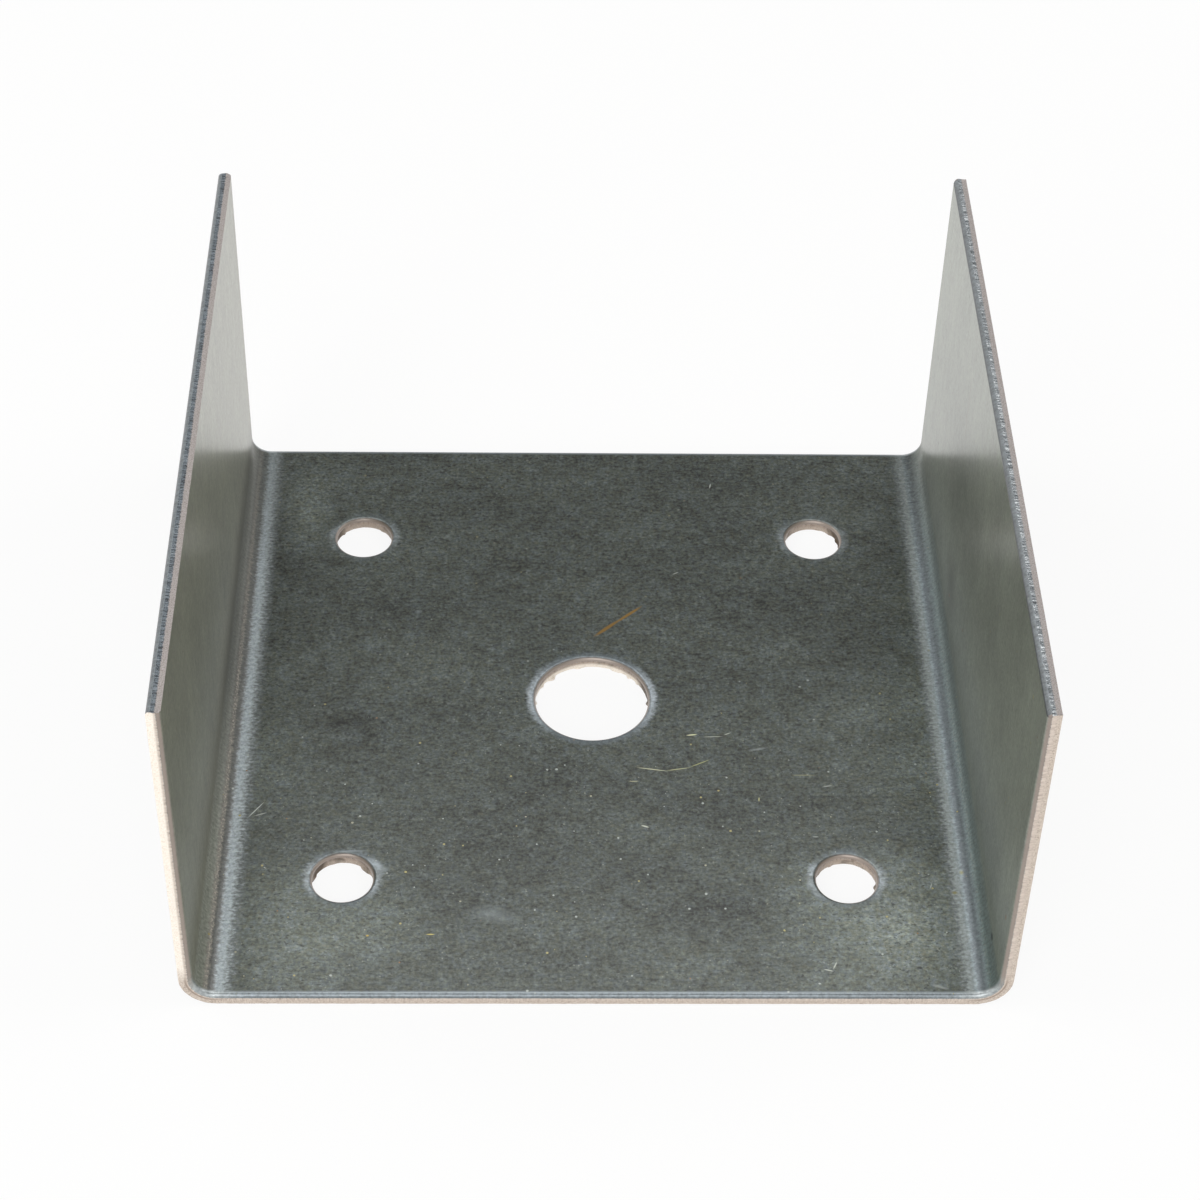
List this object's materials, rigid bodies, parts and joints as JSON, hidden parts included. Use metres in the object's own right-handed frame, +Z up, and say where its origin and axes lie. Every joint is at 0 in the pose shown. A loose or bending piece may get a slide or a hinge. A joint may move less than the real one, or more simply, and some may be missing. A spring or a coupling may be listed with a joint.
{
  "type": "post bracket",
  "caption": "U-shaped post bracket folded from one strip of galvanised sheet steel: a flat base with an anchor-bolt hole and screw holes, and a plain flange up each side of the post.",
  "frame": {"origin": "centre of the underside, below the anchor hole", "axes": "+X across the bracket from flange to flange, +Y to the back along the folds, +Z up"},
  "size_m": [0.0936, 0.094, 0.047],
  "materials": {
    "galvanised_steel": "zinc-coated sheet, dull grey with fine streaks along the rolling direction, bare steel on the cut edges"
  },
  "bodies": {
    "root": {"post_bracket": "galvanised_steel"}
  },
  "joints": []
}
